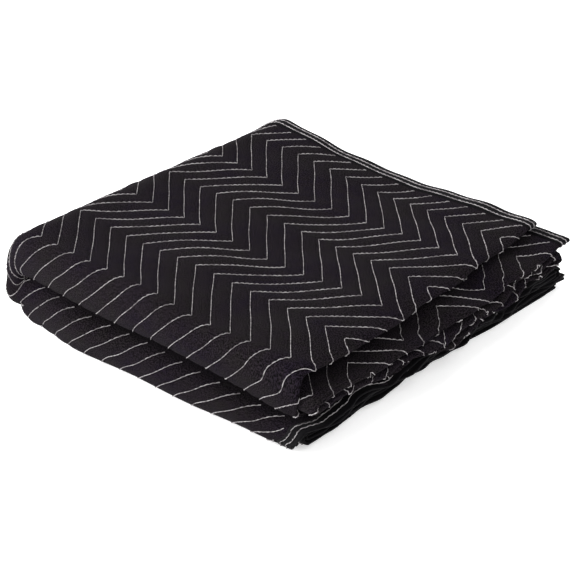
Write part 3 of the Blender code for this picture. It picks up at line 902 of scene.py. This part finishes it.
@dataclass
class Stitching:
    """Sewing thread, stitch by stitch, as a thin raised cord that dips into the cloth between stitches."""

    blanket: FoldedBlanket
    quilting: Quilting
    stitch: float = 0.0060
    half_width: float = 0.00042
    rise: float = 0.00075
    crevice: float = 0.5005
    # Columns: share of the stitch, width and height as shares of the full ones
    shape: Table = ((0.0, 0.45, -0.25), (0.25, 0.95, 0.80), (0.62, 1.0, 1.0))
    # Columns: place in the cord's section, sideways and up, as shares of its half width and height
    section: Table = ((1.0, -0.4), (0.72, 0.65), (0.0, 1.0), (-0.72, 0.65), (-1.0, -0.4))
    probe: float = 0.001
    least_probes: int = 4
    tape_margin: float = 0.002

    def stations(self, start: float, stop: float) -> Array:
        """Where a run of stitches is drawn.

        Args:
            start: where it starts, as a distance along the run.
            stop: where it stops.

        Returns:
            The distances, a few for each stitch.
        """
        count = max(1, round((stop - start) / self.stitch))
        length = (stop - start) / count
        return np.array([start + length * (number + row[0]) for number in range(count) for row in self.shape])

    def cord(self, points: Array, out: Array) -> Strand:
        """One run of stitches.

        Args:
            points: its stations on a face.
            out: the directions out of the face there.

        Returns:
            The points of the run and its faces.
        """
        count = len(points) // len(self.shape)
        wide = np.tile([row[1] for row in self.shape], count) * self.half_width
        high = np.tile([row[2] for row in self.shape], count) * self.rise
        ahead = unit(np.gradient(points, axis=0))
        side = unit(np.cross(ahead, out))
        cords = [
            points + side * (wide * u)[:, None] + out * (high + self.rise * (v - 1.0))[:, None]
            for u, v in self.section
        ]
        verts = np.stack(cords, axis=1).reshape(-1, 3)
        verts[:, 2] = np.maximum(verts[:, 2], 0.0)
        size = len(self.section)
        pairs = [(corner, (corner + 1) % size) for corner in range(size)]
        rings = range(0, size * (len(points) - 1), size)
        return verts, [(n + a, n + b, n + b + size, n + a + size) for n in rings for a, b in pairs]

    def gather(self, name: str, strands: list[Strand], look: Material) -> Piece:
        """Join strands into one piece.

        Args:
            name: the piece's name.
            strands: the points and faces of each.
            look: the thread's material.

        Returns:
            The piece.
        """
        polygons = []
        base = 0
        for verts, faces in strands:
            polygons += [tuple(corner + base for corner in face) for face in faces]
            base += len(verts)
        points = np.concatenate([verts for verts, _ in strands])
        return make_piece(name, points, polygons, points[:, :2], look)

    def quilting_runs(self, x_low: float, x_high: float, y_low: float, y_high: float) -> list[Strand]:
        """The quilting inside one rectangle of the cut.

        Args:
            x_low: where it starts along the length.
            x_high: where it ends.
            y_low: where it starts across the width.
            y_high: where it ends.

        Returns:
            A strand for each stretch of a line that is inside.
        """
        quilting = self.quilting
        slant = math.hypot(quilting.reach, quilting.leg) / quilting.leg
        rows = np.linspace(y_low, y_high, math.ceil((y_high - y_low) / self.probe))
        strands = []
        for number in quilting.numbers():
            places = quilting.line(number, rows)
            inside = np.flatnonzero((places > x_low) & (places < x_high))
            for part in np.split(inside, np.flatnonzero(np.diff(inside) > 1) + 1):
                if len(part) < self.least_probes:
                    continue
                start = float(rows[part[0]])
                y = start + self.stations(0.0, (float(rows[part[-1]]) - start) * slant) / slant
                x = quilting.line(number, y)
                point, _, _, out = self.blanket.frame(x, y)
                outer, _ = quilting.thickness(x, y)
                strands.append(self.cord(point + out * (outer + self.rise)[:, None], out))
        return strands

    def tape_runs(self, tape: BindingTape, edge: Edge) -> list[Strand]:
        """The rows of stitches on both faces of a tape.

        Args:
            tape: the tape.
            edge: the edge that it binds.

        Returns:
            A strand for each row.
        """
        x, y, inward = tape.path(edge)
        along_x = inward[0] == 0.0
        run, across = (x, y) if along_x else (y, x)
        at = self.stations(float(run[0]) + self.tape_margin, float(run[-1]) - self.tape_margin)
        height = tape.lip() + self.rise
        strands = []
        for depth in tape.stitch_rows:
            row = np.full_like(at, across[0] + sum(inward) * depth)
            point, _, _, out = self.blanket.frame(at, row) if along_x else self.blanket.frame(row, at)
            strands += [self.cord(point + out * side * height, out * side) for side in (1.0, -1.0)]
        return strands

    def build(self, tape: BindingTape, look: Material) -> list[Piece]:
        """Sew the quilting that shows and the binding.

        Args:
            tape: the binding tape.
            look: the thread's material.

        Returns:
            The pieces of thread.
        """
        half = 0.5 * self.blanket.cut_length
        # Rectangles of the cut that show from outside: x from and to, y from and to
        patches = {
            "quilting_thread_top": [(0.40, half + 0.006, 0.0215, self.crevice)],
            "quilting_thread_sides": [
                (0.0215, 0.40, 0.40, self.crevice),
                (half - 0.12, half + 0.006, self.crevice, 0.56),
                (half - 0.05, half + 0.10, 1.30, 1.8075),
                (half - 0.040, half + 0.030, 0.56, 1.30),
                (0.0215, half + 0.006, 0.885, 0.945),
            ],
            "quilting_thread_underside": [(0.0215, 0.40, 0.0215, 0.40)],
        }
        strands = {
            name: [strand for limits in patch for strand in self.quilting_runs(*limits)]
            for name, patch in patches.items()
        }
        strands["binding_thread"] = [strand for edge in Edge for strand in self.tape_runs(tape, edge)]
        return [self.gather(name, found, look) for name, found in strands.items()]


def colour(code: str) -> tuple[float, float, float, float]:
    """A colour from its sRGB hex code, as the linear values that Blender takes."""
    values = [int(code[start:start + 2], 16) / 255.0 for start in (0, 2, 4)]
    linear = [value / 12.92 if value <= 0.04045 else ((value + 0.055) / 1.055) ** 2.4 for value in values]
    return (linear[0], linear[1], linear[2], 1.0)


class Nodes:
    """A material's node tree."""

    def __init__(self, name: str) -> None:
        """Start a material that has its output and shader.

        Args:
            name: the material's name.
        """
        self.material = bpy.data.materials.new(name)
        self.material.use_nodes = True
        self.tree = self.material.node_tree
        self.shader = self.tree.nodes["Principled BSDF"]

    def feed(self, node: bpy.types.Node, inputs: dict[str | int, object]) -> None:
        """Give a node its values and links.

        Args:
            node: the node.
            inputs: a value, or a socket to link, for each input by its name or number.
        """
        for name, value in inputs.items():
            if isinstance(value, Socket):
                self.tree.links.new(value, node.inputs[name])
            else:
                node.inputs[name].default_value = value

    def add(
        self, kind: str, inputs: dict[str | int, object], settings: dict[str, object] | None = None,
        out: str | int = 0,
    ) -> Socket:
        """Add a node with its settings and links.

        Args:
            kind: its Blender type.
            inputs: a value, or a socket to link, for each input by its name or number.
            settings: properties of the node.
            out: name or number of the output that is wanted.

        Returns:
            The output.
        """
        node = self.tree.nodes.new(kind)
        for name, value in (settings or {}).items():
            setattr(node, name, value)
        self.feed(node, inputs)
        return node.outputs[out]

    def ribs(self, place: Socket, axis: int, spacing: float) -> Socket:
        """Even ribs across one axis of the cut.

        Args:
            place: place in the cut.
            axis: 0 for its length, 1 for its width.
            spacing: from one rib to the next, in metres.

        Returns:
            Their height, -1 to 1.
        """
        run = self.add("ShaderNodeSeparateXYZ", {"Vector": place}, out=axis)
        turn = self.add("ShaderNodeMath", {0: run, 1: 2.0 * math.pi / spacing}, PRODUCT)
        return self.add("ShaderNodeMath", {0: turn}, SINE)

    def patches(self, place: Socket, size: float, detail: float, low: float, high: float) -> Socket:
        """Uneven patches with soft edges.

        Args:
            place: where they are read.
            size: how many metres they are across.
            detail: how much finer noise they have.
            low: the noise up to which the value is 0.
            high: the noise from which it is 1.

        Returns:
            The value.
        """
        noise = self.add("ShaderNodeTexNoise", {"Vector": place, "Scale": 1.0 / size, "Detail": detail})
        limits = {"Value": noise, "From Min": low, "From Max": high}
        return self.add("ShaderNodeMapRange", limits, {"interpolation_type": "SMOOTHSTEP"})


@dataclass(frozen=True)
class WovenCloth:
    """Black woven cotton and polyester cloth: a close plain weave of slightly mottled yarn."""

    yarn: str = "221D22"
    dark_yarn: str = "020202"
    violet: str = "1B1522"
    grey: str = "22201F"
    yarn_pitch: float = 0.0008
    roughness: float = 0.88
    sheen: float = 0.012
    sheen_roughness: float = 0.45
    specular: float = 0.01
    # Patches: metres across, detail, and the noise from which and up to which they fade in
    fleck: tuple[float, ...] = (0.0014, 1.5, 0.44, 0.56)
    cloud: tuple[float, ...] = (0.012, 4.0, 0.36, 0.64)
    wide: tuple[float, ...] = (0.075, 1.5, 0.40, 0.62)
    fleck_share: float = 0.95
    fleck_roughness: float = 0.08
    cloud_share: float = 0.55
    # Relief: its height in metres, its strength, and the parts of it that weave and clouds have
    relief: float = 0.0003
    relief_strength: float = 0.55
    weave_part: float = 0.35
    cloud_part: float = 1.2

    def make(self) -> Material:
        """The cloth's material."""
        nodes = Nodes("black woven cotton blend")
        place = nodes.add("ShaderNodeUVMap", {}, {"uv_map": "cut"})
        # Dark single yarns give the eye a fine grain, drawn 1.4 mm across, coarser than real, so it shows
        fleck = nodes.patches(place, *self.fleck)
        flecked = nodes.add("ShaderNodeMath", {0: fleck, 1: self.fleck_share}, PRODUCT)
        rough = nodes.add(
            "ShaderNodeMath", {0: fleck, 1: self.fleck_roughness, 2: self.roughness}, PRODUCT_AND_SUM
        )
        # Uneven dye gives soft clouds of grey and violet, seen from further off
        cloud = nodes.patches(place, *self.cloud)
        wide = nodes.patches(place, *self.wide)
        tint = nodes.add("ShaderNodeMix", {0: wide, 6: colour(self.grey), 7: colour(self.violet)}, COLOURS, 2)
        clouded = nodes.add("ShaderNodeMath", {0: cloud, 1: self.cloud_share}, PRODUCT)
        base = nodes.add("ShaderNodeMix", {0: clouded, 6: colour(self.yarn), 7: tint}, COLOURS, 2)
        mottled = nodes.add("ShaderNodeMix", {0: flecked, 6: base, 7: colour(self.dark_yarn)}, COLOURS, 2)
        # Crossing yarns scatter the light, so the cloth looks matte
        warp = nodes.ribs(place, 0, self.yarn_pitch)
        weft = nodes.ribs(place, 1, self.yarn_pitch)
        weave = nodes.add("ShaderNodeMath", {0: warp, 1: weft}, PRODUCT)
        fine = nodes.add("ShaderNodeMath", {0: weave, 1: self.weave_part}, PRODUCT)
        soft = nodes.add("ShaderNodeMath", {0: cloud, 1: self.cloud_part}, PRODUCT)
        height = nodes.add("ShaderNodeMath", {0: fine, 1: soft}, SUM)
        relief = {"Height": height, "Strength": self.relief_strength, "Distance": self.relief}
        nodes.feed(nodes.shader, {
            "Base Color": mottled, "Roughness": rough, "Normal": nodes.add("ShaderNodeBump", relief),
            "Sheen Weight": self.sheen, "Sheen Roughness": self.sheen_roughness,
            "Specular IOR Level": self.specular,
        })
        return nodes.material


@dataclass(frozen=True)
class TapeWeb:
    """Black woven binding tape, ribbed across, a little smoother than the cloth."""

    web: str = "080709"
    worn: str = "131215"
    rib_pitch: float = 0.0011
    rib_height: float = 0.0001
    rib_strength: float = 0.5
    roughness: float = 0.62
    sheen: float = 0.02
    specular: float = 0.03
    fleck: tuple[float, ...] = (0.0035, 3.0, 0.40, 0.70)
    fleck_share: float = 0.45
    fleck_roughness: float = 0.12

    def make(self) -> Material:
        """The tape's material."""
        nodes = Nodes("black woven binding tape")
        place = nodes.add("ShaderNodeUVMap", {}, {"uv_map": "cut"})
        # Wear gives the web slightly lighter patches
        fleck = nodes.patches(place, *self.fleck)
        worn = nodes.add("ShaderNodeMath", {0: fleck, 1: self.fleck_share}, PRODUCT)
        base = nodes.add("ShaderNodeMix", {0: worn, 6: colour(self.web), 7: colour(self.worn)}, COLOURS, 2)
        rough = nodes.add(
            "ShaderNodeMath", {0: fleck, 1: self.fleck_roughness, 2: self.roughness}, PRODUCT_AND_SUM
        )
        # Its woven ribs break up the little light that it reflects
        ribs = nodes.ribs(place, 0, self.rib_pitch)
        relief = {"Height": ribs, "Strength": self.rib_strength, "Distance": self.rib_height}
        nodes.feed(nodes.shader, {
            "Base Color": base, "Roughness": rough, "Normal": nodes.add("ShaderNodeBump", relief),
            "Sheen Weight": self.sheen, "Specular IOR Level": self.specular,
        })
        return nodes.material


@dataclass(frozen=True)
class SewingThread:
    """White twisted polyester sewing thread."""

    white: str = "A8A4A5"
    worn: str = "6C6769"
    roughness: float = 0.55
    fleck: tuple[float, ...] = (0.006, 3.0, 0.36, 0.64)
    fleck_roughness: float = 0.15
    twist: float = 0.0006
    twist_detail: float = 1.0
    twist_height: float = 0.0001
    twist_strength: float = 0.4

    def make(self) -> Material:
        """The thread's material."""
        nodes = Nodes("white sewing thread")
        place = nodes.add("ShaderNodeTexCoord", {}, out="Object")
        # Rubbed stitches look greyer than the others
        fleck = nodes.patches(place, *self.fleck)
        base = nodes.add("ShaderNodeMix", {0: fleck, 6: colour(self.white), 7: colour(self.worn)}, COLOURS, 2)
        rough = nodes.add(
            "ShaderNodeMath", {0: fleck, 1: self.fleck_roughness, 2: self.roughness}, PRODUCT_AND_SUM
        )
        # The twist dulls the thread's shine
        coarse = {"Vector": place, "Scale": 1.0 / self.twist, "Detail": self.twist_detail}
        twist = nodes.add("ShaderNodeTexNoise", coarse)
        relief = {"Height": twist, "Strength": self.twist_strength, "Distance": self.twist_height}
        nodes.feed(nodes.shader, {
            "Base Color": base, "Roughness": rough, "Normal": nodes.add("ShaderNodeBump", relief),
        })
        return nodes.material


@dataclass(frozen=True)
class StudioPaper:
    """White background paper, with light behind it so that shadows on it stay faint."""

    white: str = "F7F7F7"
    grey: str = "F2F2F2"
    grain: float = 0.004
    grain_detail: float = 3.0
    roughness: float = 0.9
    glow: float = 0.46

    def make(self) -> Material:
        """The paper's material."""
        nodes = Nodes("white background paper")
        place = nodes.add("ShaderNodeTexCoord", {}, out="Object")
        # Its fibres are barely seen
        coarse = {"Vector": place, "Scale": 1.0 / self.grain, "Detail": self.grain_detail}
        grain = nodes.add("ShaderNodeTexNoise", coarse)
        base = nodes.add("ShaderNodeMix", {0: grain, 6: colour(self.white), 7: colour(self.grey)}, COLOURS, 2)
        nodes.feed(nodes.shader, {"Base Color": base, "Roughness": self.roughness})
        nodes.shader.inputs["Emission Color"].default_value = (1.0, 1.0, 1.0, 1.0)
        nodes.shader.inputs["Emission Strength"].default_value = self.glow
        return nodes.material


def toward(azimuth: float, elevation: float) -> Vector:
    """Direction of a place seen from the blanket, by its angles in radians; azimuth 0 is at -Y."""
    level = math.cos(elevation)
    return Vector((math.sin(azimuth) * level, -math.cos(azimuth) * level, math.sin(elevation)))


@dataclass
class Studio:
    """Floor, lights and camera."""

    # Camera, fitted to the corners of the zigzag and to the outline
    lens_pixels: float = 1701.0
    picture_pixels: float = 576.0
    sensor: float = 36.0
    turn: float = 46.69
    tilt: float = 29.31
    roll: float = 5.21
    aim: Triple = (0.0, 0.0, 0.05)
    slide: Triple = (-0.0027, -0.0228, 2.025)
    # Columns: name, azimuth and elevation in degrees, distance, size, watts
    lights: tuple[tuple[str, float, float, float, float, float], ...] = (
        ("overhead_softbox", 200.0, 72.0, 2.2, 1.6, 26.0),
        ("left_softbox", -40.0, 24.0, 2.4, 1.1, 76.0),
        ("right_fill", 66.0, 40.0, 2.8, 1.6, 34.0),
    )
    world_strength: float = 0.56
    # The paper's half width, its cells, how far out it stays flat, how it curves up, and its height
    paper_size: float = 6.0
    paper_cells: int = 24
    paper_flat: float = 3.0
    paper_curve: float = 0.06
    paper_z: float = -0.0002

    def floor(self) -> Piece:
        """A wide sheet of white paper under the blanket, curved up far behind it."""
        mesh = bmesh.new()
        cells = self.paper_cells
        bmesh.ops.create_grid(mesh, x_segments=cells, y_segments=cells, size=self.paper_size)
        for vert in mesh.verts:
            away = max(vert.co.length - self.paper_flat, 0.0)
            vert.co.z = self.paper_z + self.paper_curve * away * away
        data = bpy.data.meshes.new("paper_floor")
        mesh.to_mesh(data)
        mesh.free()
        data.shade_smooth()
        data.materials.append(StudioPaper().make())
        return linked("paper_floor", data)

    def light(
        self, name: str, azimuth: float, elevation: float, distance: float, size: float, watts: float
    ) -> None:
        """A square softbox that looks at the blanket.

        Args:
            name: the light's name.
            azimuth: where it stands, in degrees.
            elevation: how high, in degrees.
            distance: how far off.
            size: its side.
            watts: its power.
        """
        data = bpy.data.lights.new(name, "AREA")
        data.size = size
        data.energy = watts
        away = toward(math.radians(azimuth), math.radians(elevation))
        lamp = linked(name, data)
        lamp.location = away * distance
        lamp.rotation_euler = (-away).to_track_quat("-Z", "Y").to_euler()

    def camera(self) -> None:
        """The camera, at the photograph's angle."""
        turn, tilt, roll = (math.radians(value) for value in (self.turn, self.tilt, self.roll))
        ahead = -toward(turn, tilt)
        right = Vector((math.cos(turn), math.sin(turn), 0.0))
        down = ahead.cross(right)
        place = Vector(self.aim) - right * self.slide[0] - down * self.slide[1] - ahead * self.slide[2]
        rolled_right = right * math.cos(roll) + down * math.sin(roll)
        rolled_down = down * math.cos(roll) - right * math.sin(roll)
        axes = Matrix((rolled_right, -rolled_down, -ahead)).transposed()
        data = bpy.data.cameras.new("camera")
        data.sensor_width = self.sensor
        data.lens = self.lens_pixels / self.picture_pixels * self.sensor
        data.clip_start = 0.05
        data.clip_end = 60.0
        made = linked("camera", data)
        made.matrix_world = Matrix.Translation(place) @ axes.to_4x4()
        bpy.context.scene.camera = made

    def build(self) -> Piece:
        """Set up the floor, the lights, the world and the camera."""
        floor = self.floor()
        for row in self.lights:
            self.light(*row)
        world = bpy.data.worlds.new("studio")
        world.use_nodes = True
        sky = world.node_tree.nodes["Background"]
        sky.inputs["Color"].default_value = (1.0, 1.0, 1.0, 1.0)
        sky.inputs["Strength"].default_value = self.world_strength
        bpy.context.scene.world = world
        bpy.context.scene.view_settings.view_transform = "Standard"
        self.camera()
        return floor


@dataclass
class MovingBlanket:
    """The whole blanket, with its pieces made in order."""

    blanket: FoldedBlanket = field(default_factory=FoldedBlanket)
    # Points along and across the cut that measure the form, and a point of the cut on the top leaf
    grid: tuple[int, int] = (600, 500)
    top_point: tuple[float, float] = (0.8, 0.2)

    def match_frame(self) -> None:
        """Set the form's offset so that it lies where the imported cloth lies, and its face outwards."""
        low, high = (np.array(corner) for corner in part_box("quilted_panel"))
        columns = np.linspace(0.0, self.blanket.cut_length, self.grid[0])
        rows = np.linspace(0.0, self.blanket.cut_width, self.grid[1])
        x, y = np.meshgrid(columns, rows)
        cloud = self.blanket.middle_of(x.ravel(), y.ravel())
        middle = 0.5 * (cloud.min(axis=0) + cloud.max(axis=0))
        offset = 0.5 * (low + high) - middle
        self.blanket.offset = (float(offset[0]), float(offset[1]), 0.0)
        _, _, _, out = self.blanket.frame(*np.array(self.top_point)[:, None])
        self.blanket.face = 1.0 if out[0, 2] > 0.0 else -1.0
        LOG.info("offset %s, face %s", np.round(offset, 5), self.blanket.face)

    def build(self) -> None:
        """Make the cloth, the tapes and the stitching, and say what they are."""
        self.match_frame()
        quilting = Quilting(self.blanket)
        cloth_look = WovenCloth().make()
        tape_look = TapeWeb().make()
        thread_look = SewingThread().make()
        cloth = QuiltedCloth(self.blanket, quilting).build(cloth_look)
        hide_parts("quilted_panel")
        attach(cloth, "root")
        tape = BindingTape(self.blanket)
        tapes = []
        for edge in Edge:
            piece = tape.build(edge, tape_look)
            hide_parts(edge.value)
            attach(piece, "root")
            tapes.append(piece)
        threads = Stitching(self.blanket, quilting).build(tape, thread_look)
        for piece in threads:
            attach(piece, "root")
        for piece in (cloth, *tapes, *threads):
            triangles = sum(len(face.vertices) - 2 for face in piece.data.polygons)
            LOG.info("%s: %d triangles", piece.name, triangles)


def main() -> None:
    """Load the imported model, dress it and set up the studio."""
    logging.basicConfig(level=logging.INFO, format="%(name)s: %(message)s")
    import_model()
    MovingBlanket().build()
    Studio().build()


if __name__ == "__main__":
    main()
